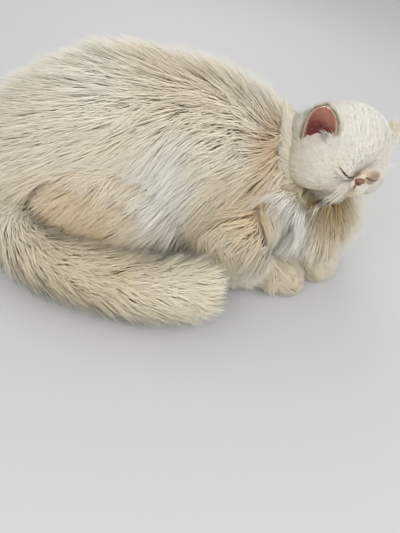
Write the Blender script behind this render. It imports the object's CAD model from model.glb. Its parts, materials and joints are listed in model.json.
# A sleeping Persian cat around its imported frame: one skin, and a long coat of solid tufts
import json
import math
import time

import bmesh
import bpy
import numpy as np
from mathutils import Euler, Matrix, Vector
from mathutils.bvhtree import BVHTree
from mathutils.kdtree import KDTree

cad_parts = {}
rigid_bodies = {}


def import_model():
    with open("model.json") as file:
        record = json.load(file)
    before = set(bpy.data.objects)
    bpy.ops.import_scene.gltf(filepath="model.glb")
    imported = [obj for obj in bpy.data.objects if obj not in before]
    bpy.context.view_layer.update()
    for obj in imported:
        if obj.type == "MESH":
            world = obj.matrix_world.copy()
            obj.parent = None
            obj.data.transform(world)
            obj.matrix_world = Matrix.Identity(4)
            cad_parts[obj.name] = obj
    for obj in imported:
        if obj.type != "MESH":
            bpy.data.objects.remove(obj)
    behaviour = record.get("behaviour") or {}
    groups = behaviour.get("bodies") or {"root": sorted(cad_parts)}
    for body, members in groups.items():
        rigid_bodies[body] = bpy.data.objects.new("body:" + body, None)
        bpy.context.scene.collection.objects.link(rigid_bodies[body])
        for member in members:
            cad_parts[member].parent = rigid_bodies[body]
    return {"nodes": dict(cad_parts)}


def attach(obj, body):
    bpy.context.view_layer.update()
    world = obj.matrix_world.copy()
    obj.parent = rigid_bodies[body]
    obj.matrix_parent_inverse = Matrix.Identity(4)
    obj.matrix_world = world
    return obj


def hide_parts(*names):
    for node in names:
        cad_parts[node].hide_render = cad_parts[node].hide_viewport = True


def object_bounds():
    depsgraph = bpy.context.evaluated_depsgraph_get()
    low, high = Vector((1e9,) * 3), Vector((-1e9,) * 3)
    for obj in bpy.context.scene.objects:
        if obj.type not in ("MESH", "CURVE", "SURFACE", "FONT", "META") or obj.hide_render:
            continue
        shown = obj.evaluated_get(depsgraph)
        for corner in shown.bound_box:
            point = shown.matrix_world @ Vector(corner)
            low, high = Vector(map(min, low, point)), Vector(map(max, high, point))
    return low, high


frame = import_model()
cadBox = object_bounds()
started = time.time()


def report(stage):
    print("%5.1f s  %s" % (time.time() - started, stage))


# Camera, light and floor
for left in list(bpy.data.objects):
    if left.name in ("Cube", "Light", "Camera"):
        bpy.data.objects.remove(left)
camera = {
    "eye": (-0.0404, -0.4747, 0.4014),
    "view": (0.09841, 0.70022, -0.70711),
    "roll": 15.2,                # degrees
    "focalPixels": 440,
    "framePixels": 533,          # height of the photograph's frame
    "sensor": 24.0,
}


def placeCamera(look):
    data = bpy.data.cameras.new("camera")
    data.sensor_fit = "VERTICAL"
    data.sensor_height = look["sensor"]
    data.lens = look["sensor"] * look["focalPixels"] / look["framePixels"]
    data.clip_start = 0.01
    made = bpy.data.objects.new("camera", data)
    bpy.context.scene.collection.objects.link(made)
    aim = Vector(look["view"]).to_track_quat("-Z", "Y").to_matrix().to_4x4()
    made.matrix_world = Matrix.Translation(look["eye"]) @ aim @ Matrix.Rotation(math.radians(look["roll"]), 4, "Z")
    bpy.context.scene.camera = made


placeCamera(camera)

studio = {
    "lamps": (                   # place, size in metres, power in watts
        ((-0.28, -0.94, 0.86), 1.3, 6.8),
        ((0.95, -0.45, 0.85), 0.9, 3.5),
        ((-0.10, 0.95, 1.00), 0.9, 4.0),
    ),
    "target": (0.0, 0.0, 0.08),
    "world": (1.0, 1.0, 1.0),
    "worldStrength": 0.74,
    "floorSize": 3.0,
    "floorColour": (0.56, 0.56, 0.56),
    "colours": "Standard",
    "exposure": 0.0,
}


def lightStudio(light):
    for place, size, power in light["lamps"]:
        data = bpy.data.lights.new("softLamp", "AREA")
        data.energy = power
        data.size = size
        lamp = bpy.data.objects.new("softLamp", data)
        lamp.location = place
        lamp.rotation_euler = (Vector(light["target"]) - Vector(place)).to_track_quat("-Z", "Y").to_euler()
        bpy.context.scene.collection.objects.link(lamp)
    world = bpy.data.worlds.new("studio")
    world.use_nodes = True
    world.node_tree.nodes["Background"].inputs["Color"].default_value = (*light["world"], 1)
    world.node_tree.nodes["Background"].inputs["Strength"].default_value = light["worldStrength"]
    bpy.context.scene.world = world
    bpy.context.scene.view_settings.view_transform = light["colours"]
    bpy.context.scene.view_settings.exposure = light["exposure"]


lightStudio(studio)


# Shader maths
class Wire:
    # A socket that adds its Math nodes when it is used in an expression
    def __init__(self, finish, socket):
        self.finish = finish
        self.socket = socket

    def maths(self, operation, *others):
        return self.finish.add("ShaderNodeMath", {"operation": operation}, (self, *others))

    def __add__(self, other):
        return self.maths("ADD", other)

    __radd__ = __add__

    def __mul__(self, other):
        return self.maths("MULTIPLY", other)

    __rmul__ = __mul__

    def __sub__(self, other):
        return self.maths("SUBTRACT", other)

    def __rsub__(self, other):
        return self.finish.add("ShaderNodeMath", {"operation": "SUBTRACT"}, (other, self))

    def __truediv__(self, other):
        return self.maths("DIVIDE", other)


class Finish:
    # A material whose nodes are added one call at a time
    def __init__(self, name):
        self.material = bpy.data.materials.new(name)
        self.material.use_nodes = True
        self.tree = self.material.node_tree
        self.shader = self.tree.nodes["Principled BSDF"]

    def feed(self, socket, value):
        if isinstance(value, Wire):
            self.tree.links.new(value.socket, socket)
        elif value is not None:
            socket.default_value = value

    def add(self, kind, settings=None, values=(), output=0):
        made = self.tree.nodes.new(kind)
        for name, value in (settings or {}).items():
            setattr(made, name, value)
        pairs = values.items() if isinstance(values, dict) else enumerate(values)
        for key, value in pairs:
            self.feed(made.inputs[key], value)
        return Wire(self, made.outputs[output])

    def vector(self, operation, *values, output=0):
        return self.add("ShaderNodeVectorMath", {"operation": operation}, values, output)

    def mix(self, factor, under, over, blend="MIX"):
        return self.add("ShaderNodeMix", {"data_type": "RGBA", "blend_type": blend},
                        {0: factor, 6: colour(under), 7: colour(over)}, 2)

    def ramp(self, value, low, high, start=0.0, end=1.0):
        return self.add("ShaderNodeMapRange", {"interpolation_type": "SMOOTHSTEP"},
                        (value, low, high, start, end))

    def noise(self, place, scale, detail=3.0):
        return self.add("ShaderNodeTexNoise", {}, {"Vector": place, "Scale": scale, "Detail": detail})

    def attribute(self, name, output):
        return self.add("ShaderNodeAttribute", {"attribute_name": name}, (), output)

    def bump(self, height, strength, distance):
        return self.add("ShaderNodeBump", {}, {"Height": height, "Strength": strength, "Distance": distance})

    def surface(self, **sockets):
        for name, value in sockets.items():
            self.feed(self.shader.inputs[name.replace("_", " ")], colour(value))
        return self.material


def colour(value):
    return (*value, 1.0) if isinstance(value, tuple) and len(value) == 3 else value


def makeFloor(light):
    size = light["floorSize"]
    mesh = bpy.data.meshes.new("floor")
    mesh.from_pydata([(-size, -size, 0), (size, -size, 0), (size, size, 0), (-size, size, 0)], [], [(0, 1, 2, 3)])
    floor = bpy.data.objects.new("floor", mesh)
    bpy.context.scene.collection.objects.link(floor)
    mesh.materials.append(Finish("floorPaint").surface(Base_Color=light["floorColour"], Roughness=0.9))


makeFloor(studio)
report("camera, light and floor")

# The skin's forms, in metres as in the frame
trunk = {
    "stations": (                # centre x, y, z, half width, half height
        (-0.221, -0.031, 0.073, 0.021, 0.025),
        (-0.205, -0.030, 0.075, 0.039, 0.046),
        (-0.168, -0.021, 0.084, 0.062, 0.072),
        (-0.110, -0.006, 0.095, 0.077, 0.094),
        (-0.060, 0.000, 0.096, 0.078, 0.095),
        (-0.010, 0.002, 0.094, 0.075, 0.091),
        (0.040, 0.000, 0.088, 0.066, 0.080),
        (0.080, -0.003, 0.080, 0.056, 0.063),
        (0.120, -0.007, 0.076, 0.046, 0.050),
        (0.154, -0.012, 0.072, 0.034, 0.036),
        (0.170, -0.015, 0.070, 0.016, 0.018),
    ),
    "neck": ((0.062, -0.002, 0.110), (0.116, -0.010, 0.130), 0.054, 0.034),
}
limbs = {                        # start, end, radius at each
    "upperArmRight": ((0.072, -0.046, 0.088), (0.030, -0.080, 0.052), 0.030, 0.029),
    "upperArmLeft": ((0.088, 0.042, 0.088), (0.056, 0.070, 0.052), 0.030, 0.029),
    "forearmRight": ((0.034, -0.082, 0.036), (0.094, -0.078, 0.020), 0.023, 0.016),
    "forearmLeft": ((0.060, 0.064, 0.036), (0.144, -0.016, 0.020), 0.023, 0.016),
    "hindFootRight": ((-0.155, -0.080, 0.030), (-0.075, -0.084, 0.017), 0.020, 0.015),
    "hindFootLeft": ((-0.155, 0.060, 0.030), (-0.075, 0.064, 0.017), 0.020, 0.015),
}
haunches = {
    "places": ((-0.105, -0.074, 0.062), (-0.105, 0.054, 0.062)),
    "radii": (0.072, 0.034, 0.058),
    "turn": 14.0,                # degrees, the knee lower than the hip
}
paws = {
    "places": (                  # place and heading in degrees
        ((0.108, -0.077, 0.0150), 3.0),
        ((0.160, -0.036, 0.0150), -32.0),
        ((-0.047, -0.087, 0.0150), 0.0),
        ((-0.047, 0.067, 0.0150), 0.0),
    ),
    "palm": (0.0255, 0.0190, 0.0165),
    "toe": (0.0112, 0.0068, 0.0095),
    "toes": (-0.0145, -0.0052, 0.0052, 0.0145),
}
tail = {
    "stations": (
        (-0.168, -0.030, 0.066, 0.013, 0.013),
        (-0.209, -0.053, 0.052, 0.013, 0.013),
        (-0.210, -0.101, 0.041, 0.013, 0.013),
        (-0.169, -0.135, 0.038, 0.012, 0.012),
        (-0.118, -0.153, 0.038, 0.012, 0.012),
        (-0.060, -0.162, 0.037, 0.011, 0.011),
        (-0.010, -0.158, 0.041, 0.012, 0.012),
        (0.014, -0.152, 0.046, 0.010, 0.010),
    ),
}
head = {
    "place": (0.146, -0.020, 0.165),
    "turn": (-11.0, 4.0, -67.0), # roll, pitch, yaw in degrees
    "front": 0.0450, "back": 0.054, "side": 0.055, "top": 0.052, "under": 0.046,
    "swellings": (               # azimuth, elevation, spread in degrees, height; both sides where aside
        (0, 50, 30, 0.0050),
        (0, 14, 8, -0.0040),
        (27, 22, 12, 0.0022),
        (26, 2, 12, 0.0046),
        (11, -3, 5, -0.0022),
        (0, -3, 8, 0.0012),
        (13, -25, 11, 0.0078),
        (0, -48, 12, 0.0066),
        (60, -22, 25, 0.0088),
        (60, 22, 15, -0.0020),
    ),
    "furDepth": 0.0042,          # from the skin to the tips over the crown and the cheeks
    "earHollow": (84, 22, 13, 0.0100),
    "eyeLine": ((9.5, -0.6), (15, -1.6), (22, -1.6), (30, 0.2), (39, 4.6)),
    "mouthLine": ((0, -35), (9, -40.5), (19, -41), (29, -37), (37, -33)),
    "lipSplit": ((0, -15), (0, -25), (0, -35)),
    "creaseWidth": 0.0011,
    "noseElevation": -7.0,
    "noseRadii": (0.0062, 0.0078, 0.0056),
}


def smoothBetween(points, shares):
    # Rows on a Catmull-Rom curve through the rows of points, at shares of its length
    rows = np.array(points, float)
    rows = np.vstack((2 * rows[0] - rows[1], rows, 2 * rows[-1] - rows[-2]))
    place = np.clip(np.asarray(shares, float), 0, 1) * (len(points) - 1)
    k = np.minimum(place.astype(int), len(points) - 2)
    t = (place - k)[:, None]
    a, b, c, d = rows[k], rows[k + 1], rows[k + 2], rows[k + 3]
    return 0.5 * (2 * b + (c - a) * t + (2 * a - 5 * b + 4 * c - d) * t ** 2 + (3 * b - a - 3 * c + d) * t ** 3)


def unit(rows):
    return rows / np.maximum(np.linalg.norm(rows, axis=-1, keepdims=True), 1e-9)


def smoothStep(value, low, high):
    t = np.clip((value - low) / (high - low), 0, 1)
    return t * t * (3 - 2 * t)


def toward(azimuth, elevation):
    a, e = np.radians(azimuth), np.radians(elevation)
    return np.stack((np.cos(a) * np.cos(e), np.sin(a) * np.cos(e), np.sin(e)), axis=-1)


def lineOnHead(line, side=1, count=24):
    rows = smoothBetween([(side * a, e) for a, e in line], np.linspace(0, 1, count))
    return toward(rows[:, 0], rows[:, 1])


def angleTo(ways, line):
    # The smallest angle from each way to the points of a line
    return np.arccos(np.clip(ways @ line.T, -1, 1)).min(axis=1)


eyeLines = [lineOnHead(head["eyeLine"], side) for side in (1, -1)]
mouthLines = [lineOnHead(head["mouthLine"], side) for side in (1, -1)] + [lineOnHead(head["lipSplit"])]
headTurn = np.array(Euler([math.radians(t) for t in head["turn"]]).to_matrix())
headPlace = np.array(head["place"])


def headRadius(ways, creased=False):
    ahead = np.where(ways[:, 0] > 0, head["front"], head["back"])
    up = np.where(ways[:, 2] > 0, head["top"], head["under"])
    reach = 1 / np.sqrt((ways[:, 0] / ahead) ** 2 + (ways[:, 1] / head["side"]) ** 2 + (ways[:, 2] / up) ** 2)
    for azimuth, elevation, spread, height in head["swellings"]:
        for side in ((1, -1) if azimuth else (1,)):
            away = np.degrees(np.arccos(np.clip(ways @ toward(side * azimuth, elevation), -1, 1)))
            reach = reach + height * np.exp(-(away / spread) ** 2)
    if creased:
        width = head["creaseWidth"] / 0.05
        for line in eyeLines:
            away = angleTo(ways, line)
            reach = reach - 0.0013 * np.exp(-(away / width) ** 2) + 0.0008 * np.exp(-((away - 2.6 * width) / (1.4 * width)) ** 2)
        for line in mouthLines:
            reach = reach - 0.0014 * np.exp(-(angleTo(ways, line) / width) ** 2)
    return reach


def skinRadius(ways, creased=False):
    # The head's skin under its fur, hollowed in front of the ears
    reach = headRadius(ways, creased)
    fromNose = np.linalg.norm(ways * 0.05 - np.array((0.05, 0, -0.006)), axis=1)
    azimuth, elevation, spread, depth = head["earHollow"]
    for side in (1, -1):
        away = np.degrees(np.arccos(np.clip(ways @ toward(side * azimuth, elevation), -1, 1)))
        reach = reach - depth * np.exp(-(away / spread) ** 2)
    return reach - head["furDepth"] * smoothStep(fromNose, 0.034, 0.056)


def toHead(places):
    return (places - headPlace) @ headTurn


def fromHead(places):
    return places @ headTurn.T + headPlace


def meshOf(name, vertices, faces):
    mesh = bpy.data.meshes.new(name)
    mesh.from_pydata([tuple(v) for v in vertices], [], faces)
    made = bpy.data.objects.new(name, mesh)
    bpy.context.scene.collection.objects.link(made)
    return made


def ballMesh(segments=32, rings=20):
    shape = bmesh.new()
    bmesh.ops.create_uvsphere(shape, u_segments=segments, v_segments=rings, radius=1)
    vertices = np.array([v.co for v in shape.verts])
    faces = [tuple(v.index for v in f.verts) for f in shape.faces]
    shape.free()
    return vertices, faces


def tubeForm(stations, count, sides=28):
    shares = np.linspace(0, 1, count)
    rows = smoothBetween(stations, shares)
    along = unit(np.gradient(rows[:, :3], axis=0))
    side = unit(np.cross(along, (0.0, 0.0, 1.0)))
    up = np.cross(side, along)
    turn = np.linspace(0, 2 * np.pi, sides, endpoint=False)
    rings = (rows[:, None, :3] + side[:, None] * (np.cos(turn)[None, :, None] * rows[:, None, 3:4])
             + up[:, None] * (np.sin(turn)[None, :, None] * rows[:, None, 4:5]))
    vertices = np.vstack((rings.reshape(-1, 3), rows[0, :3] - along[0] * rows[0, 3] * 0.4,
                          rows[-1, :3] + along[-1] * rows[-1, 3] * 0.4))
    faces = []
    for i in range(count - 1):
        for k in range(sides):
            a, b = i * sides + k, i * sides + (k + 1) % sides
            faces.append((a, b, b + sides, a + sides))
    first, last = count * sides, count * sides + 1
    faces += [(first, (k + 1) % sides, k) for k in range(sides)]
    base = (count - 1) * sides
    faces += [(last, base + k, base + (k + 1) % sides) for k in range(sides)]
    return vertices, faces, np.concatenate((np.repeat(shares, sides), (0.0, 1.0)))


def limbForm(start, end, startRadius, endRadius):
    vertices, faces = ballMesh(28, 19)
    far = vertices[:, 2] > 0
    reach = (Vector(end) - Vector(start)).length
    vertices = vertices * np.where(far, endRadius, startRadius)[:, None]
    vertices[:, 2] += np.where(far, reach, 0)
    turn = np.array((Vector(end) - Vector(start)).to_track_quat("Z", "Y").to_matrix())
    return vertices @ turn.T + np.array(start), faces


def ballForm(place, radii, turn=Matrix()):
    vertices, faces = ballMesh()
    return (vertices * np.array(radii)) @ np.array(turn.to_3x3()).T + np.array(place), faces


def pawForms(place, heading):
    turn = Matrix.Rotation(math.radians(heading), 4, "Z")
    forms = [ballForm(place, paws["palm"], turn)]
    for offset in paws["toes"]:
        ahead = paws["palm"][0] * (0.84 - 0.20 * abs(offset) / paws["toes"][-1])
        forms.append(ballForm(Vector(place) + turn @ Vector((ahead, offset, -0.0035)), paws["toe"], turn))
    return forms


def fleshForms():
    # Every closed form of the body as part, vertices, faces and share along it
    forms = []
    vertices, faces, shares = tubeForm(trunk["stations"], 60, 48)
    forms.append(("trunk", vertices, faces, shares))
    for part, form in [("neck", limbForm(*trunk["neck"]))]:
        forms.append((part, *form, None))
    for name, limb in limbs.items():
        forms.append(("hindFoot" if name.startswith("hind") else "foreleg", *limbForm(*limb), None))
    turn = Matrix.Rotation(math.radians(haunches["turn"]), 4, "Y")
    for place in haunches["places"]:
        forms.append(("haunch", *ballForm(place, haunches["radii"], turn), None))
    for place, heading in paws["places"]:
        forms += [("paw", *form, None) for form in pawForms(place, heading)]
    vertices, faces, shares = tubeForm(tail["stations"], 90, 20)
    forms.append(("tail", vertices, faces, shares))
    ball, faces = ballMesh(64, 44)
    ways = unit(ball)
    forms.append(("head", fromHead(ways * skinRadius(ways)[:, None]), faces, None))
    return forms


skinCut = {"voxel": 0.0026, "smoothing": 0.5, "smoothSteps": 5, "headSnap": 0.0045, "fineFace": 2}


def makeSkin(cut):
    forms = fleshForms()
    vertices, faces, parts, shares = [], [], [], []
    for part, points, polygons, along in forms:
        first = sum(len(v) for v in vertices)
        vertices.append(points)
        faces += [tuple(first + i for i in polygon) for polygon in polygons]
        parts += [part] * len(points)
        shares += list(along) if along is not None else [0.0] * len(points)
    everything = np.vstack(vertices)
    skin = meshOf("catSkin", everything, faces)
    remesh = skin.modifiers.new("oneSkin", "REMESH")
    remesh.mode = "VOXEL"
    remesh.voxel_size = cut["voxel"]
    smooth = skin.modifiers.new("soften", "SMOOTH")
    smooth.factor = cut["smoothing"]
    smooth.iterations = cut["smoothSteps"]
    bpy.context.view_layer.update()
    mesh = bpy.data.meshes.new_from_object(skin.evaluated_get(bpy.context.evaluated_depsgraph_get()))
    skin.modifiers.clear()
    skin.data = mesh
    refineFace(mesh, cut)
    snapToHead(mesh, everything, np.array(parts), cut)
    return skin, everything, np.array(parts), np.array(shares)


def refineFace(mesh, cut):
    shape = bmesh.new()
    shape.from_mesh(mesh)
    for step in range(cut["fineFace"]):
        limit = (0.030, 0.036)[step]
        near = []
        for face in shape.faces:
            spot = toHead(np.array(face.calc_center_median())[None])[0]
            if spot[0] > limit and abs(spot[1]) < 0.042 and np.linalg.norm(spot) < 0.068:
                near.append(face)
        edges = list({edge for face in near for edge in face.edges})
        bmesh.ops.subdivide_edges(shape, edges=edges, cuts=1, use_grid_fill=True)
    bmesh.ops.triangulate(shape, faces=shape.faces)
    shape.to_mesh(mesh)
    shape.free()


def readPoints(mesh):
    places = np.empty(len(mesh.vertices) * 3)
    mesh.vertices.foreach_get("co", places)
    return places.reshape(-1, 3)


def snapToHead(mesh, source, parts, cut):
    # Near the head the skin takes the head's own form, with its lids, lips and creases
    places = readPoints(mesh)
    local = toHead(places)
    reach = np.linalg.norm(local, axis=1)
    ways = unit(local)
    close = np.nonzero(np.abs(reach - skinRadius(ways)) < cut["headSnap"])[0]
    others = source[parts != "head"]
    others = others[np.linalg.norm(others - headPlace, axis=1) < 0.12]
    body = KDTree(len(others))
    for i, place in enumerate(others):
        body.insert(place, i)
    body.balance()
    away = np.array([body.find(place)[2] for place in places[close]])
    fade = np.clip((away - 0.004) / 0.006, 0, 1)
    target = skinRadius(ways[close], creased=True)
    local[close] = ways[close] * (reach[close] + (target - reach[close]) * fade)[:, None]
    places = fromHead(local)
    places[:, 2] = np.maximum(places[:, 2], 0.0003)
    mesh.vertices.foreach_set("co", places.ravel())
    mesh.update()


catSkin, formPoints, formParts, formShares = makeSkin(skinCut)
report("skin %d triangles" % len(catSkin.data.polygons))

# Markings, shared by the skin and the coat: soft patches over a cream ground
coatColours = {
    "ground": (0.88, 0.80, 0.63),
    "white": (0.93, 0.91, 0.85),
    "cream": (0.86, 0.77, 0.60),
    "golden": (0.74, 0.56, 0.33),
    "tan": (0.87, 0.75, 0.54),
    "orange": (0.70, 0.48, 0.28),
    "olive": (0.72, 0.61, 0.41),
    "yellow": (0.86, 0.78, 0.56),
    "straw": (0.76, 0.64, 0.42),
    "stain": (0.40, 0.27, 0.09),
    "tear": (0.24, 0.13, 0.06),
}
patches = (                      # colour, centre, radii, strength
    ("tan", (-0.010, 0.000, 0.205), (0.100, 0.080, 0.050), 0.70),
    ("cream", (0.046, -0.010, 0.180), (0.050, 0.060, 0.050), 0.60),
    ("cream", (-0.170, -0.040, 0.150), (0.080, 0.100, 0.100), 0.45),
    ("white", (-0.110, -0.060, 0.205), (0.070, 0.060, 0.040), 0.45),
    ("golden", (-0.118, -0.110, 0.100), (0.080, 0.050, 0.045), 0.85),
    ("golden", (-0.100, -0.112, 0.080), (0.034, 0.030, 0.022), 0.80),
    ("golden", (-0.118, 0.110, 0.105), (0.070, 0.045, 0.045), 0.55),
    ("white", (-0.030, -0.095, 0.140), (0.042, 0.060, 0.090), 0.95),
    ("white", (-0.030, 0.095, 0.140), (0.042, 0.060, 0.090), 0.70),
    ("golden", (0.050, -0.085, 0.115), (0.050, 0.054, 0.054), 0.90),
    ("golden", (0.074, -0.050, 0.150), (0.030, 0.050, 0.050), 0.60),
    ("orange", (0.068, -0.040, 0.165), (0.024, 0.034, 0.034), 0.80),
    ("olive", (0.020, -0.095, 0.085), (0.046, 0.044, 0.048), 0.90),
    ("white", (0.110, -0.060, 0.100), (0.045, 0.060, 0.070), 0.85),
    ("white", (0.150, -0.024, 0.175), (0.062, 0.060, 0.060), 1.00),
    ("yellow", (-0.060, -0.160, 0.040), (0.190, 0.062, 0.050), 0.80),
    ("straw", (-0.130, -0.150, 0.060), (0.095, 0.060, 0.050), 0.85),
    ("cream", (0.136, -0.058, 0.136), (0.026, 0.026, 0.016), 0.60),
    ("olive", (0.120, -0.080, 0.022), (0.070, 0.070, 0.030), 0.80),
    ("straw", (0.170, -0.040, 0.080), (0.040, 0.050, 0.055), 0.75),
    ("stain", (0.146, -0.036, 0.108), (0.022, 0.024, 0.018), 0.95),
)
headPatches = (                  # the same, in the head's own axes
    ("tear", (0.047, -0.0125, 0.001), (0.010, 0.0060, 0.0080), 0.80),
    ("tear", (0.047, 0.0125, 0.001), (0.010, 0.0070, 0.0100), 0.85),
    ("golden", (0.052, 0.000, 0.002), (0.016, 0.017, 0.016), 0.60),
    ("stain", (0.050, 0.000, -0.016), (0.010, 0.006, 0.010), 0.65),
    ("stain", (0.020, -0.016, -0.046), (0.022, 0.020, 0.014), 0.95),
    ("straw", (0.016, -0.040, -0.030), (0.036, 0.028, 0.018), 0.95),
    ("straw", (0.016, 0.040, -0.030), (0.034, 0.026, 0.016), 0.75),
)
markingEdge = {"inner": 0.35, "outer": 1.15, "wobble": 0.5, "wobbleScale": 32.0}


def markings(finish, place):
    # The colour of the coat at a place
    edge = markingEdge
    wobble = (finish.noise(place, edge["wobbleScale"]) - 0.5) * edge["wobble"]
    made = colour(coatColours["ground"])
    inHead = [(name, tuple(fromHead(np.array(centre)[None])[0]), radii, strength)
              for name, centre, radii, strength in headPatches]
    for name, centre, radii, strength in (*patches, *inHead):
        from_centre = finish.vector("SUBTRACT", place, centre)
        scaled = finish.vector("MULTIPLY", from_centre, tuple(1 / r for r in radii))
        away = finish.vector("LENGTH", scaled, output=1) + wobble
        made = finish.mix(finish.ramp(away, edge["inner"], edge["outer"], strength, 0.0), made, coatColours[name])
    return made


def skinFinish():
    finish = Finish("skinHair")
    place = finish.add("ShaderNodeTexCoord", output=3)
    grain = finish.noise(place, 900.0, 4.0)
    tone = finish.mix(0.35, markings(finish, place), (0.72, 0.50, 0.40))
    tone = finish.mix(finish.ramp(grain, 0.35, 0.7, 0.0, 0.35), tone, (0.93, 0.88, 0.78))
    return finish.surface(Base_Color=tone, Roughness=0.75 + 0.1 * grain, Normal=finish.bump(grain, 0.5, 0.0006))


def coatFinish():
    finish = Finish("creamHair")
    place = finish.attribute("rootPlace", 1)
    along = finish.attribute("alongTuft", 2)
    shade = finish.attribute("tuftShade", 2)
    strand = finish.noise(finish.add("ShaderNodeTexCoord", output=3), 700.0, 2.0)
    tone = markings(finish, place)
    deep = finish.mix(1.0, tone, (0.94, 0.87, 0.75), "MULTIPLY")
    tone = finish.mix(finish.ramp(along, 0.0, 0.65), deep, tone)
    tone = finish.mix(finish.ramp(along, 0.55, 1.0, 0.0, 0.30), tone, (0.95, 0.92, 0.86))
    tone = finish.mix(finish.ramp(shade, 0.0, 1.0, 0.16, 0.0), tone, deep)
    return finish.surface(Base_Color=tone, Roughness=0.62 + 0.18 * strand,
                          Normal=finish.bump(strand, 0.25, 0.0003), Sheen_Weight=0.25, Sheen_Roughness=0.45)


catSkin.data.materials.clear()
catSkin.data.materials.append(skinFinish())
catSkin.data.polygons.foreach_set("use_smooth", [True] * len(catSkin.data.polygons))


def unwrapSkin(skin):
    bpy.context.view_layer.objects.active = skin
    skin.select_set(True)
    bpy.ops.object.mode_set(mode="EDIT")
    bpy.ops.mesh.select_all(action="SELECT")
    bpy.ops.uv.smart_project(angle_limit=math.radians(66), island_margin=0.002)
    bpy.ops.object.mode_set(mode="OBJECT")
    skin.select_set(False)
    skin.data.uv_layers[0].name = "OFBake"


unwrapSkin(catSkin)
report("skin unwrapped")

# The ears: cups that open ahead and to the side, bare and pink inside, with hair behind and across
ears = {
    "root": (0.006, 0.046, 0.003),
    "height": 0.046,
    "halfWidth": 0.0190,
    "cup": 0.013,
    "wall": 0.0016,
    "columns": 36,
    "rows": 32,
    "ways": {                    # side, the way it stands, the way it opens
        "earLeft": (1, (-0.42, 0.36, 0.80), (0.20, 0.95, -0.10)),
        "earRight": (-1, (-0.14, -0.28, 0.94), (0.66, -0.72, -0.10)),
    },
    "pink": (0.50, 0.215, 0.150),
    "pale": (0.62, 0.42, 0.33),
    "deep": (0.120, 0.010, 0.012),
    "behind": (0.80, 0.71, 0.60),
}


def earAxes(name):
    side, up, facing = ears["ways"][name]
    up = unit(np.array(up, float))
    facing = np.array(facing, float)
    facing = unit(facing - up * (facing @ up))
    return np.array(ears["root"]) * (1, side, 1), up, facing, np.cross(up, facing)


def earSpots(name, u, v):
    # Places on the middle of an ear's wall, in the head's axes: u across from -1 to 1, v upward
    root, up, facing, across = earAxes(name)
    u, v = np.broadcast_arrays(u, v)
    round_ = np.sqrt(np.maximum(0, 1 - np.maximum(0, (v - 0.25) / 0.75) ** 2.2))
    half = np.maximum(ears["halfWidth"] * round_ * (0.86 + 0.14 * v), 0.0008)
    back = ears["cup"] * (1 - u * u) * (1 - 0.55 * v) - ears["cup"] * 0.35 * v * v
    return (root + up * (ears["height"] * v)[..., None] + across * (half * u)[..., None]
            - facing * back[..., None])


def makeEar(name):
    columns, rows = ears["columns"], ears["rows"]
    u, v = np.meshgrid(np.linspace(-1, 1, columns + 1), 1 - (1 - np.linspace(0, 1, rows + 1)) ** 1.5)
    spots = earSpots(name, u, v)
    outward = unit(np.cross(np.gradient(spots, axis=1), np.gradient(spots, axis=0)))
    facing = earAxes(name)[2]
    outward *= np.where((outward @ facing).mean() > 0, 1, -1)
    rim = np.maximum(np.abs(u) ** 6, v ** 10)
    half = ears["wall"] / 2 * (1 - 0.65 * rim)
    fold = 0.0006 * np.sin(9 * u + 1.2) * (1 - v) * (1 - np.abs(u))
    front = spots + outward * (half + fold)[..., None]
    behind = spots - outward * half[..., None]
    perSide = (columns + 1) * (rows + 1)
    index = np.arange(perSide).reshape(rows + 1, columns + 1)
    faces = []
    for r in range(rows):
        for c in range(columns):
            a, b, d, e = index[r, c], index[r, c + 1], index[r + 1, c + 1], index[r + 1, c]
            faces.append((a, b, d, e))
            faces.append((e + perSide, d + perSide, b + perSide, a + perSide))
    edge = list(index[0]) + list(index[1:, -1]) + list(index[-1, :-1][::-1]) + list(index[1:-1, 0][::-1])
    for a, b in zip(edge, edge[1:] + edge[:1]):
        faces.append((b, a, a + perSide, b + perSide))
    made = meshOf(name, fromHead(np.vstack((front.reshape(-1, 3), behind.reshape(-1, 3)))), faces)
    shape = bmesh.new()
    shape.from_mesh(made.data)
    bmesh.ops.recalc_face_normals(shape, faces=shape.faces)
    shape.to_mesh(made.data)
    shape.free()
    made.data.polygons.foreach_set("use_smooth", [True] * len(made.data.polygons))
    for title, values in (("earAcross", u), ("earUp", v)):
        made.data.attributes.new(title, "FLOAT", "POINT").data.foreach_set("value", np.tile(values.ravel(), 2))
    inner = np.concatenate((np.ones(perSide), np.zeros(perSide)))
    made.data.attributes.new("earInside", "FLOAT", "POINT").data.foreach_set("value", inner)
    made.data.materials.append(earFinish())
    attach(made, "root")
    return made


def earFinish():
    finish = Finish("earSkin")
    across = finish.attribute("earAcross", 2)
    high = finish.attribute("earUp", 2)
    inside = finish.attribute("earInside", 2)
    place = finish.add("ShaderNodeTexCoord", output=3)
    grain = finish.noise(place, 420.0, 3.0)
    blotch = finish.noise(place, 60.0, 2.0)
    low = finish.ramp(high + (blotch - 0.5) * 0.25 + 0.10 * across, 0.42, 0.86, 1.0, 0.0)
    tone = finish.mix(low * 0.92, ears["pink"], ears["deep"])
    rim = finish.ramp(across * across + (grain - 0.5) * 0.1, 0.66, 0.98)
    tone = finish.mix(rim * 0.75, tone, ears["pale"])
    tone = finish.mix(finish.ramp(high, 0.90, 1.0, 0.0, 0.6), tone, ears["pale"])
    tone = finish.mix(finish.ramp(grain, 0.45, 0.75, 0.0, 0.18), tone, (0.75, 0.50, 0.42))
    tone = finish.mix(inside, ears["behind"], tone)
    return finish.surface(Base_Color=tone, Roughness=0.50 + 0.2 * grain, Normal=finish.bump(grain, 0.35, 0.0005))


for earName, side in (("earLeft", 1), ("earRight", -1)):
    made = makeEar(earName)
    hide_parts("ear_left" if side > 0 else "ear_right")
report("ears")

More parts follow.
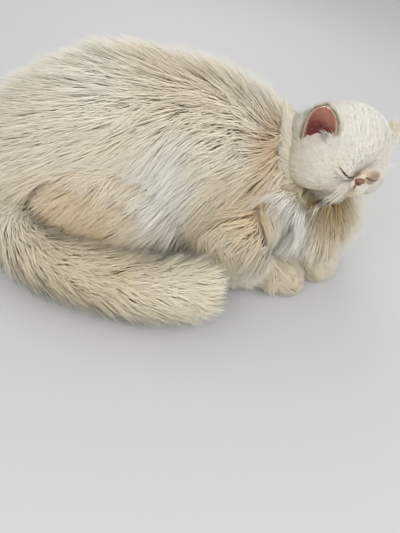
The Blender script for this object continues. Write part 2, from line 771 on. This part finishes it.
# The nose: a pad of bare skin, wider above, with two nostrils and a groove between them
nose = {
    "depth": 0.0056, "halfWidth": 0.0088, "halfHeight": 0.0048, "sink": 0.0008, "elevation": -7.0,
    "nostril": (0.50, -0.25, 0.34, 0.36),    # aside and up as shares, then its size aside and its depth
    "colour": (0.25, 0.115, 0.085),
    "edge": (0.15, 0.070, 0.050),
    "dark": (0.035, 0.012, 0.010),
}


def makeNose():
    ball, faces = ballMesh(56, 40)
    way = toward(0, nose["elevation"])
    place = way * (headRadius(way[None])[0] - nose["sink"])
    narrow = np.where(ball[:, 2] < 0.6, 0.72 + 0.28 * ball[:, 2], 0.88)
    aside, up, size, depth = nose["nostril"]
    hollow = np.zeros(len(ball))
    for side in (1, -1):
        away = np.hypot((ball[:, 1] - side * aside) / size, (ball[:, 2] - up + 0.25 * (np.abs(ball[:, 1]) - aside)) / (size * 0.55))
        hollow = np.maximum(hollow, np.exp(-away ** 2) * (ball[:, 0] > 0))
    groove = np.exp(-(ball[:, 1] / 0.08) ** 2) * smoothStep(-ball[:, 2], -0.2, 0.3) * (ball[:, 0] > 0)
    reach = 1 - depth * hollow - 0.10 * groove
    shape = ball * np.array((nose["depth"], nose["halfWidth"], nose["halfHeight"]))
    shape[:, 1] *= narrow
    shape *= reach[:, None]
    made = meshOf("noseLeather", fromHead(shape + place), faces)
    made.data.polygons.foreach_set("use_smooth", [True] * len(faces))
    made.data.attributes.new("hollow", "FLOAT", "POINT").data.foreach_set("value", np.maximum(np.maximum(hollow, groove * 0.55), 0.7 * smoothStep(-ball[:, 2], 0.0, 0.8)))
    finish = Finish("noseSkin")
    spot = finish.add("ShaderNodeTexCoord", output=3)
    pebbles = finish.add("ShaderNodeTexVoronoi", {}, {"Vector": spot, "Scale": 2600.0})
    cloud = finish.noise(spot, 500.0, 2.0)
    tone = finish.mix(finish.ramp(cloud, 0.35, 0.7), nose["colour"], nose["edge"])
    tone = finish.mix(finish.ramp(finish.attribute("hollow", 2), 0.25, 0.75), tone, nose["dark"])
    made.data.materials.append(finish.surface(Base_Color=tone, Roughness=0.34 + 0.2 * cloud, Coat_Weight=0.15,
                                              Normal=finish.bump(pebbles, 0.30, 0.0003)))
    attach(made, "root")
    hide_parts("nose")


makeNose()

# The rims of the shut lids, and whiskers on the pads and over the eyes
lids = {"radius": 0.00115, "lift": -0.0002, "colour": (0.045, 0.024, 0.016), "sides": 8, "count": 40}
whiskers = {
    "azimuths": (9.0, 12.5, 16.0, 19.5),
    "elevations": (-18.5, -22.5, -26.5, -30.5),
    "length": (0.014, 0.032),
    "radius": 0.00028,
    "droop": 0.90,
    "brow": ((22, 17, 0.022), (27, 19, 0.026), (32, 18, 0.020)),
    "colour": (0.86, 0.83, 0.76),
    "count": 12,
    "seed": 3,
}


def rodForm(path, radii, sides):
    # A closed tube along a path, its ends drawn to points
    along = unit(np.gradient(path, axis=0))
    guide = np.array((0.0, 0.0, 1.0)) if abs(along[0, 2]) < 0.8 else np.array((1.0, 0.0, 0.0))
    side = unit(np.cross(along, guide))
    up = np.cross(side, along)
    turn = np.linspace(0, 2 * np.pi, sides, endpoint=False)
    rings = path[:, None] + (side[:, None] * np.cos(turn)[None, :, None] + up[:, None] * np.sin(turn)[None, :, None]) * radii[:, None, None]
    count = len(path)
    vertices = np.vstack((rings.reshape(-1, 3), path[0] - along[0] * radii[0], path[-1] + along[-1] * radii[-1]))
    faces = []
    for i in range(count - 1):
        for k in range(sides):
            a, b = i * sides + k, i * sides + (k + 1) % sides
            faces.append((a, b, b + sides, a + sides))
    base = (count - 1) * sides
    for k in range(sides):
        faces.append((count * sides, (k + 1) % sides, k))
        faces.append((count * sides + 1, base + k, base + (k + 1) % sides))
    return vertices, faces


def joinForms(name, forms, finish):
    vertices, faces = [], []
    first = 0
    for points, polygons in forms:
        vertices.append(points)
        faces += [tuple(first + i for i in polygon) for polygon in polygons]
        first += len(points)
    made = meshOf(name, np.vstack(vertices), faces)
    shape = bmesh.new()
    shape.from_mesh(made.data)
    bmesh.ops.recalc_face_normals(shape, faces=shape.faces)
    shape.to_mesh(made.data)
    shape.free()
    made.data.polygons.foreach_set("use_smooth", [True] * len(made.data.polygons))
    made.data.materials.append(finish)
    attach(made, "root")
    return made


def makeLids():
    forms = []
    for side in (1, -1):
        ways = lineOnHead(head["eyeLine"], side, lids["count"])
        path = ways * (headRadius(ways) + lids["lift"])[:, None]
        t = np.linspace(0, 1, lids["count"])
        radii = lids["radius"] * (0.40 + 0.60 * np.sin(np.pi * (0.06 + 0.88 * t)))
        forms.append(rodForm(fromHead(path), radii, lids["sides"]))
    split = lineOnHead(head["lipSplit"], 1, 16)[:9]
    path = split * (headRadius(split) - 0.0004)[:, None]
    forms.append(rodForm(fromHead(path), np.linspace(0.0014, 0.0004, len(path)), lids["sides"]))
    finish = Finish("lidRim")
    grain = finish.noise(finish.add("ShaderNodeTexCoord", output=3), 900.0, 2.0)
    tone = finish.mix(grain, lids["colour"], (0.11, 0.06, 0.04))
    joinForms("lidRims", forms, finish.surface(Base_Color=tone, Roughness=0.45 + 0.2 * grain))


def makeWhiskers():
    chance = np.random.default_rng(whiskers["seed"])
    forms = []
    for side in (1, -1):
        starts = [(a, e, None) for e in whiskers["elevations"] for a in whiskers["azimuths"]]
        for azimuth, elevation, length in (*starts, *whiskers["brow"]):
            azimuth += chance.normal(0, 0.7)
            elevation += chance.normal(0, 0.7)
            way = toward(side * azimuth, elevation)
            root = way * (headRadius(way[None])[0] - 0.0006)
            if length is None:
                far = (azimuth - 9) / 10.5
                length = (whiskers["length"][0] + (whiskers["length"][1] - whiskers["length"][0]) * far) * chance.uniform(0.8, 1.1)
                heading = unit(way * 0.55 + np.array((-0.10, side * (0.85 + 0.25 * far), -0.55 - 0.3 * chance.random())))
                droop = whiskers["droop"]
            else:
                heading = unit(way * 0.7 + np.array((0.1, side * 0.35, 0.75)))
                droop = 0.5
            t = np.linspace(0, 1, whiskers["count"])[:, None]
            bend = np.array((-0.25, 0.0, -1.0)) * droop
            path = root + heading * length * t + bend * length * t * t * 0.5
            radii = whiskers["radius"] * (1 - 0.88 * t[:, 0])
            forms.append(rodForm(fromHead(path), radii, 5))
    finish = Finish("whiskerHair")
    grain = finish.noise(finish.add("ShaderNodeTexCoord", output=3), 300.0, 2.0)
    tone = finish.mix(grain, whiskers["colour"], (0.92, 0.90, 0.85))
    joinForms("whiskers", forms, finish.surface(Base_Color=tone, Roughness=0.35 + 0.15 * grain))


makeLids()
makeWhiskers()
report("nose, lids and whiskers")


def eyeFinish():
    # Amber eyes behind the shut lids: a dark pupil in a streaked iris
    finish = Finish("eyeAmber")
    place = finish.add("ShaderNodeTexCoord", output=3)
    streaks = finish.noise(place, 380.0, 4.0)
    tone = finish.mix(finish.ramp(streaks, 0.3, 0.7), (0.50, 0.24, 0.04), (0.16, 0.06, 0.01))
    return finish.surface(Base_Color=tone, Roughness=0.08 + 0.05 * streaks, Coat_Weight=0.8)


amber = eyeFinish()
for eyeName in ("eye_left", "eye_right"):
    eye = bpy.data.objects[eyeName]
    for slotNumber in range(len(eye.material_slots)):
        eye.material_slots[slotNumber].material = amber


# The coat: for each part the hair's length, its angles off the skin at root and tip, its width,
# the clumping of its tips and how many tufts an area has beside the trunk
coats = {
    "trunk": {"length": 0.062, "rise": 80, "settle": 8, "width": 0.00104, "clump": 0.10, "density": 1.0},
    "neck": {"length": 0.060, "rise": 78, "settle": 16, "width": 0.00100, "clump": 0.10, "density": 1.5},
    "haunch": {"length": 0.046, "rise": 72, "settle": 6, "width": 0.00110, "clump": 0.10, "density": 1.1},
    "foreleg": {"length": 0.034, "rise": 70, "settle": 10, "width": 0.00100, "clump": 0.10, "density": 2.0},
    "hindFoot": {"length": 0.020, "rise": 48, "settle": 8, "width": 0.00085, "clump": 0.30, "density": 1.6},
    "paw": {"length": 0.024, "rise": 62, "settle": 12, "width": 0.00070, "clump": 0.25, "density": 5.0},
    "tail": {"length": 0.048, "rise": 70, "settle": 14, "width": 0.00105, "clump": 0.10, "density": 2.4},
    "head": {"length": 0.013, "rise": 44, "settle": 14, "width": 0.00060, "clump": 0.22, "density": 8.5},
}
growth = {
    "tufts": 146000,
    "seed": 7,
    "clumpEvery": 20,            # tufts to a clump
    "clumpSway": 4.0,            # degrees
    "tuftSway": 3.5,
    "swirl": 9.0,
    "bend": 6.0,
    "thickness": 0.20,           # of the width
    "floor": 0.0006,
    "patch": 0.003,              # across each tuft's place on the unwrap
    "perPiece": 16000,
}
ringsLong = (0.0, 0.46)
ringsShort = (0.0, 0.52)
ringWidth = {0.0: 0.80, 0.46: 1.0, 0.52: 0.95}
pick = np.random.default_rng(growth["seed"])
boxSize = np.array(cadBox[1]) - np.array(cadBox[0])


def labelVertices(mesh):
    tree = KDTree(len(formPoints))
    for i, place in enumerate(formPoints):
        tree.insert(place, i)
    tree.balance()
    nearest = np.array([tree.find(place)[1] for place in readPoints(mesh)])
    return formParts[nearest], formShares[nearest]


def skinTriangles(skin):
    mesh = skin.data
    corners = np.empty(len(mesh.polygons) * 3, int)
    mesh.loops.foreach_get("vertex_index", corners)
    unwrapped = np.empty(len(mesh.loops) * 2)
    mesh.uv_layers["OFBake"].data.foreach_get("uv", unwrapped)
    normals = np.empty(len(mesh.vertices) * 3)
    mesh.vertices.foreach_get("normal", normals)
    return corners.reshape(-1, 3), unwrapped.reshape(-1, 3, 2), normals.reshape(-1, 3)


def blend(one, other, share):
    return one + (other - one) * np.asarray(share)[..., None]


def lieOf(parts, shares, places, normals):
    # The direction that the coat lies in
    aside = normals[:, 1]
    zero = np.zeros(len(places))
    back = np.stack((zero - 1.0, 0.35 * aside, -0.30 - 0.55 * np.abs(aside)), axis=1)
    chest = np.stack((zero + 0.15, 0.35 * aside, zero - 1.0), axis=1)
    fromFace = places - headPlace
    near = np.linalg.norm(fromFace, axis=1)
    ruff = unit(fromFace) + np.stack((zero - 0.35, 0.3 * aside, zero - 0.35), axis=1)
    lie = blend(back, chest, smoothStep(places[:, 0], 0.07, 0.13))
    lie = blend(lie, ruff, smoothStep(-near, -0.125, -0.085))
    legs = np.stack((zero + 0.35, 0.4 * aside, zero - 0.8), axis=1)
    lie = np.where((parts == "foreleg")[:, None], legs, lie)
    feet = np.stack((zero + 0.9, 0.2 * aside, zero - 0.3), axis=1)
    lie = np.where(((parts == "paw") | (parts == "hindFoot"))[:, None], feet, lie)
    step = 0.01
    ahead = smoothBetween(tail["stations"], shares + step)[:, :3]
    behind = smoothBetween(tail["stations"], shares - step)[:, :3]
    flare = (0.12 + 0.5 * smoothStep(shares, 0.75, 1.0))[:, None]
    lie = np.where((parts == "tail")[:, None], unit(ahead - behind) + normals * flare, lie)
    local = toHead(places)
    fromNose = local - np.array((head["front"] + 0.004, 0, -0.006))
    lie = np.where((parts == "head")[:, None], fromNose @ headTurn.T, lie)
    return unit(lie - normals * np.sum(lie * normals, axis=1, keepdims=True))


def turned(vectors, axes, degrees):
    a = np.radians(degrees)[:, None]
    return (vectors * np.cos(a) + np.cross(axes, vectors) * np.sin(a)
            + axes * np.sum(axes * vectors, axis=1, keepdims=True) * (1 - np.cos(a)))


def growCourses(ground, places, normals, lies, hair, shares):
    # Spots along each tuft, which follows the skin while it rises off it and settles
    spots, ups = [places], [normals]
    surface, along, height, before = places, lies, np.zeros(len(places)), 0.0
    for share in shares[1:]:
        step = share - before
        angle = np.radians(hair["rise"] + (hair["settle"] - hair["rise"]) * (before + share) / 2)
        along = turned(along, normals, hair["bend"] * step)
        moved = surface + along * (hair["length"] * step * np.cos(angle))[:, None]
        height = height + hair["length"] * step * np.sin(angle)
        if ground is not None:
            nearest = [ground.find_nearest(place)[:2] for place in moved]
            near = np.array([place for place, _ in nearest])
            fresh = np.array([normal for _, normal in nearest])
            leaps = (np.linalg.norm(near - moved, axis=1) > 0.010) | (np.sum(fresh * normals, axis=1) < 0.2)
            surface = np.where(leaps[:, None], moved, near)
            normals = np.where(leaps[:, None], normals, unit(normals * 0.45 + fresh * 0.55))
        else:
            surface = moved
        along = unit(along - normals * np.sum(along * normals, axis=1, keepdims=True))
        spots.append(surface + normals * height[:, None])
        ups.append(normals)
        before = share
    return np.stack(spots, axis=1), np.stack(ups, axis=1)


def buildTufts(name, spots, ups, widths, rings, roots, patchPlaces, shades, material, soft):
    # One closed tapered blade for each course: three corners a ring, then its tip
    count, levels = spots.shape[0], spots.shape[1] - 1
    along = unit(np.gradient(spots, axis=1))
    side = unit(np.cross(along, ups))
    up = np.cross(side, along)
    vertices = np.empty((count, levels * 3 + 1, 3))
    for k in range(levels):
        half = side[:, k] * (widths * ringWidth[rings[k]] / 2)[:, None]
        high = up[:, k] * (widths * ringWidth[rings[k]] * growth["thickness"])[:, None]
        for corner, spot in enumerate((spots[:, k] - half, spots[:, k] + half, spots[:, k] + high)):
            vertices[:, 3 * k + corner] = spot
    vertices[:, -1] = spots[:, -1]
    vertices[:, :, 2] = np.maximum(vertices[:, :, 2], growth["floor"])
    loops, sizes = [0, 1, 2], [3]
    for k in range(levels - 1):
        for corner in range(3):
            a, b = 3 * k + corner, 3 * k + (corner + 1) % 3
            loops += [b, a, a + 3, b + 3]
            sizes.append(4)
    last = 3 * (levels - 1)
    for corner in range(3):
        loops += [last + (corner + 1) % 3, last + corner, last + 3]
        sizes.append(3)
    perTuft = levels * 3 + 1
    allLoops = (np.array(loops)[None] + np.arange(count)[:, None] * perTuft).ravel()
    allSizes = np.tile(sizes, count)
    mesh = bpy.data.meshes.new(name)
    mesh.vertices.add(count * perTuft)
    mesh.vertices.foreach_set("co", vertices.ravel())
    mesh.loops.add(len(allLoops))
    mesh.loops.foreach_set("vertex_index", allLoops)
    mesh.polygons.add(len(allSizes))
    mesh.polygons.foreach_set("loop_start", np.concatenate(((0,), np.cumsum(allSizes)[:-1])))
    mesh.polygons.foreach_set("use_smooth", np.ones(len(allSizes), bool))
    shareOf = np.concatenate((np.repeat(rings, 3), (1.0,)))
    acrossOf = np.concatenate((np.tile((-0.5, 0.5, 0.0), levels), (0.0,)))
    patch = np.stack((acrossOf, shareOf - 0.5), axis=1) * growth["patch"]
    unwrapped = (patchPlaces[:, None] + patch[None]).reshape(-1, 2)
    layer = mesh.uv_layers.new(name="OFBake")
    layer.data.foreach_set("uv", unwrapped[allLoops].ravel())
    for attribute, kind, values in (
        ("rootPlace", "FLOAT_VECTOR", np.repeat(roots, perTuft, axis=0).ravel()),
        ("alongTuft", "FLOAT", np.tile(shareOf, count)),
        ("tuftShade", "FLOAT", np.repeat(shades, perTuft)),
    ):
        made = mesh.attributes.new(attribute, kind, "POINT")
        made.data.foreach_set("vector" if kind == "FLOAT_VECTOR" else "value", values)
    mesh.update()
    mesh.validate()
    outward = np.repeat(ups[:, :levels], 3, axis=1)
    outward = np.concatenate((outward, ups[:, -1:]), axis=1)
    own = np.empty(count * perTuft * 3)
    mesh.vertices.foreach_get("normal", own)
    shading = unit(blend(own.reshape(count, perTuft, 3), outward, soft))
    mesh.normals_split_custom_set_from_vertices(shading.reshape(-1, 3))
    mesh.materials.append(material)
    piece = bpy.data.objects.new(name, mesh)
    bpy.context.scene.collection.objects.link(piece)
    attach(piece, "root")
    return piece


def headHair(local):
    # Length of the hair on the head, shortest on the muzzle and round the eyes, and how much the
    # long hair of the jowls, the nape and the chin stands out
    ways = unit(local)
    fromNose = np.linalg.norm(local - np.array((head["front"] + 0.004, 0, -0.006)), axis=1)
    length = 0.0032 + 0.0105 * smoothStep(fromNose, 0.008, 0.060)
    jowl = smoothStep(np.abs(ways[:, 1]), 0.45, 0.90) * smoothStep(-ways[:, 2], -0.15, 0.40)
    nape = smoothStep(-ways[:, 0], 0.15, 0.75) * smoothStep(-ways[:, 2], -0.30, 0.25)
    chin = smoothStep(-ways[:, 2], 0.50, 0.85) * smoothStep(ways[:, 0], -0.3, 0.4)
    return length + 0.028 * jowl + 0.022 * nape + 0.030 * chin, np.clip(jowl + nape + 0.6 * chin, 0, 1)


def keepOffFace(local, parts):
    # True where no tuft may grow: the nose, the closed eyes, the mouth and the ears' cups
    ways = unit(local)
    off = np.zeros(len(local), bool)
    for line in eyeLines:
        off |= angleTo(ways, line) < 0.030
    for line in mouthLines:
        off |= angleTo(ways, line) < 0.018
    bridge = toward(0, head["noseElevation"]) * 0.047
    off |= np.linalg.norm(local - bridge, axis=1) < 0.0085
    for name in ears["ways"]:
        root, up, facing, across = earAxes(name)
        from_ = local - root
        ahead, aside, high = from_ @ facing, from_ @ across, from_ @ up
        off |= (ahead > -0.014) & (ahead < 0.013) & (np.abs(aside) < 0.017) & (high > 0.006) & (high < 0.040)
    return off & (parts == "head")


def growCoat():
    mesh = catSkin.data
    points = readPoints(mesh)
    corners, unwrapped, normals = skinTriangles(catSkin)
    vertexParts, vertexShares = labelVertices(mesh)
    faceParts = vertexParts[corners[:, 0]]
    a, b, c = points[corners[:, 0]], points[corners[:, 1]], points[corners[:, 2]]
    crossed = np.cross(b - a, c - a)
    weight = np.linalg.norm(crossed, axis=1)
    facing = unit(crossed)
    weight *= np.array([coats[part]["density"] for part in faceParts])
    middle = (a + b + c) / 3
    weight *= np.where((facing[:, 2] < -0.55) & (middle[:, 2] < 0.02), 0.08, 1.0)
    weight *= 1 + 0.6 * smoothStep(middle[:, 0], 0.06, 0.12) * np.isin(faceParts, ("trunk", "neck"))
    chosen = pick.choice(len(weight), growth["tufts"], p=weight / weight.sum())
    s, t = np.sqrt(pick.random(len(chosen))), pick.random(len(chosen))
    share = np.stack((1 - s, s * (1 - t), s * t), axis=1)
    places = np.einsum("nk,nkd->nd", share, points[corners[chosen]])
    upward = unit(np.einsum("nk,nkd->nd", share, normals[corners[chosen]]))
    patchPlaces = np.einsum("nk,nkd->nd", share, unwrapped[chosen])
    parts = faceParts[chosen]
    shares = vertexShares[corners[chosen, 0]]
    keep = ~keepOffFace(toHead(places), parts)
    places, upward, patchPlaces, parts, shares = (x[keep] for x in (places, upward, patchPlaces, parts, shares))
    count = len(places)
    report("roots of %d tufts" % count)

    hair = {key: np.array([coats[part][key] for part in parts], float)
            for key in ("length", "rise", "settle", "width", "clump")}
    onHead = parts == "head"
    headLength, ruff = headHair(toHead(places))
    hair["length"] = np.where(onHead, headLength, hair["length"])
    hair["width"] = np.where(onHead, 0.00050 + 0.014 * hair["length"], hair["width"])
    hair["rise"] = hair["rise"] + 26 * ruff * onHead
    hair["settle"] = hair["settle"] + 18 * ruff * onHead
    standing = smoothStep(-places[:, 0], 0.12, 0.20) * (parts == "trunk")
    nearNeck = smoothStep(places[:, 0], 0.015, 0.060) * smoothStep(places[:, 2], 0.11, 0.16)
    over = nearNeck * (parts == "neck")
    guard = (pick.random(count) < 0.06) & ~onHead
    brush = smoothStep(shares, 0.72, 0.95) * (parts == "tail") * (0.5 + 0.5 * upward[:, 2])
    hair["settle"] = hair["settle"] + 26 * standing + 12 * over + 12 * guard + 44 * brush
    tip = smoothStep(shares, 0.80, 1.0) * (parts == "tail")
    hair["length"] = hair["length"] * (1 - 0.32 * tip)

    clumps = pick.choice(count, count // growth["clumpEvery"], replace=False)
    tree = KDTree(len(clumps))
    for i, root in enumerate(places[clumps]):
        tree.insert(root, i)
    tree.balance()
    member = clumps[[tree.find(root)[1] for root in places]]
    clumpTurn = pick.normal(0, growth["clumpSway"], count)
    clumpLong = pick.uniform(0.88, 1.06, count)
    clumpBend = pick.normal(0, growth["bend"], count)
    swirl = growth["swirl"] * np.sin(38 * places[:, 0] + 3 * np.sin(24 * places[:, 2]) + 22 * places[:, 1])
    hair["length"] = hair["length"] * clumpLong[member] * pick.uniform(0.86, 1.08, count)
    hair["width"] = hair["width"] * pick.uniform(0.80, 1.15, count) * np.where(guard, 0.7, 1.0)
    hair["bend"] = clumpBend[member] + pick.normal(0, 5, count)
    hair["rise"] = hair["rise"] + pick.normal(0, 4, count)
    lies = lieOf(parts, shares, places, upward)
    calm = np.where(onHead, 0.35, np.where(parts == "tail", 0.5, 1.0))
    sway = (clumpTurn[member] + swirl) * calm + pick.normal(0, growth["tuftSway"], count)
    lies = turned(lies, upward, sway)
    ground = BVHTree.FromPolygons([tuple(p) for p in points], corners.tolist())
    shades = np.clip(0.5 + pick.normal(0, 0.16, count)[member] + pick.normal(0, 0.14, count), 0, 1)
    material = coatFinish()
    short = (onHead & (ruff < 0.15)) | (parts == "paw") | (parts == "hindFoot")
    for group, rings in ((short, ringsShort), (~short, ringsLong)):
        index = np.nonzero(group)[0]
        chosenHair = {key: value[index] for key, value in hair.items()}
        spots, ups = growCourses(ground, places[index], upward[index], lies[index], chosenHair, (*rings, 1.0))
        where = np.full(count, -1)
        where[index] = np.arange(len(index))
        leader = where[member[index]]
        led = leader >= 0
        pull = chosenHair["clump"] * led
        u = np.array((*rings, 1.0))
        rest = (places[index] - places[member[index]]) * 0.25
        gathered = spots[np.where(led, leader, 0)] + rest[:, None]
        share = (pull[:, None] * u[None] ** 1.4)[..., None]
        spots = spots * (1 - share) + gathered * share
        low, high = (np.array(corner) + sign * (0.024 * boxSize + 0.008)
                     for corner, sign in zip(cadBox, (-1, 1)))
        reach = spots - spots[:, :1]
        room = np.where(reach > 0, high - spots[:, :1], spots[:, :1] - low)
        over = (np.abs(reach) / np.maximum(room, 1e-6)).max(axis=(1, 2))
        spots = spots[:, :1] + reach / np.maximum(over, 1.0)[:, None, None]
        sink = ups[:, 0] * (chosenHair["width"] * 0.5)[:, None]
        spots[:, 0] -= sink
        yield index, rings, spots, ups, chosenHair, parts, places, patchPlaces, shades, material
    report("courses of the coat")


coatGroups = {                   # how soft its shading is, and its parts
    "Head": (0.82, "head"),
    "Feet": (0.75, "paw", "hindFoot"),
    "Tail": (0.86, "tail"),
    "Legs": (0.86, "foreleg", "haunch"),
    "Trunk": (0.88, "trunk", "neck"),
}


def makeCoat():
    pieces = []
    for index, rings, spots, ups, hair, parts, places, patchPlaces, shades, material in growCoat():
        for title, (soft, *members) in coatGroups.items():
            inside = np.nonzero(np.isin(parts[index], members))[0]
            if not len(inside):
                continue
            inside = inside[np.argsort(places[index][inside][:, 0])]
            pieceCount = math.ceil(len(inside) / growth["perPiece"])
            for number, rows in enumerate(np.array_split(inside, pieceCount)):
                roots = places[index][rows]
                rear = smoothStep(-unit(toHead(roots))[:, 0], -0.1, 0.4) * (title == "Head")
                pieces.append(buildTufts(
                    "coat%s%d" % (title, number + 1), spots[rows], ups[rows], hair["width"][rows], rings, roots,
                    patchPlaces[index][rows], shades[index][rows], material, soft * (1 - 0.6 * rear[:, None])))
                report("%s: %d tufts" % (pieces[-1].name, len(rows)))
    return pieces


coatPieces = makeCoat()

# Hair on the ears: short behind and past the rim, long wisps across the opening
earHair = {
    "behind": {"tufts": 1500, "length": (0.006, 0.011), "rise": 30, "settle": 6, "width": 0.00075},
    "wisps": {"tufts": 190, "length": (0.005, 0.011), "rise": 52, "settle": 20, "width": 0.00034},
    "seed": 19,
}


def growEarHair(name, material):
    chance = np.random.default_rng(earHair["seed"] + (name == "earRight"))
    root, up, facing, across = earAxes(name)
    inner = 1 if (across @ np.array((1.0, 0, 0))) > 0 else -1     # the edge nearer the brow
    made = []
    for kind in ("behind", "wisps"):
        look = earHair[kind]
        count = look["tufts"]
        if kind == "behind":
            u, v = chance.uniform(-1, 1, count), chance.uniform(0.02, 0.97, count)
            rim = chance.random(count) < 0.3
            u = np.where(rim, np.sign(u) * chance.uniform(0.90, 1.0, count), u)
        else:
            u = inner * chance.uniform(0.25, 1.0, count)
            v = chance.uniform(0.10, 0.36, count)
        spots = earSpots(name, u, v)
        small = 0.01
        rise = unit(earSpots(name, u, v + small) - spots)
        wide = unit(earSpots(name, u + small, v) - spots)
        outward = unit(np.cross(wide, rise))
        outward *= np.sign(outward @ facing)[:, None]
        if kind == "behind":
            ups = -outward
            lie = rise + wide * (np.sign(u) * 0.35 * np.abs(u))[:, None]
            roots = spots - outward * 0.0006
        else:
            ups = outward
            lie = rise * 0.55 - wide * (inner * 0.8) + 0.1 * ups
            roots = spots + outward * 0.0006
        lie = turned(unit(lie), ups, chance.normal(0, 12, count))
        hair = {
            "length": chance.uniform(*look["length"], count) * (1.1 - 0.4 * v),
            "rise": look["rise"] + chance.normal(0, 5, count),
            "settle": np.full(count, float(look["settle"])),
            "bend": chance.normal(0, 12, count),
        }
        roots, ups, lie = (rows @ headTurn.T for rows in (roots, ups, lie))
        roots = roots + headPlace
        course, upward = growCourses(None, roots, unit(ups), unit(lie), hair, (*ringsShort, 1.0))
        made.append((course, upward, look["width"] * chance.uniform(0.75, 1.15, count), roots))
    course, upward, widths, roots = (np.concatenate(parts) for parts in zip(*made))
    tree = KDTree(len(catSkin.data.vertices))
    for vertex in catSkin.data.vertices:
        tree.insert(vertex.co, vertex.index)
    tree.balance()
    corners, unwrapped, _ = skinTriangles(catSkin)
    placeOf = np.zeros((len(catSkin.data.vertices), 2))
    placeOf[corners.ravel()] = unwrapped.reshape(-1, 2)
    patchPlaces = placeOf[[tree.find(place)[1] for place in roots]]
    shades = np.clip(0.6 + chance.normal(0, 0.15, len(roots)), 0, 1)
    return buildTufts("hair" + name[0].upper() + name[1:], course, upward, widths, ringsShort, roots,
                      patchPlaces, shades, material, 0.1)


for earName in ears["ways"]:
    growEarHair(earName, coatPieces[0].data.materials[0])
report("hair of the ears")

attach(catSkin, "root")
fleshNodes = [name for name in frame["nodes"] if not name.startswith(("ear", "eye", "nose"))]
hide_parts(*fleshNodes)

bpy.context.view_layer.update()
report("whole model")
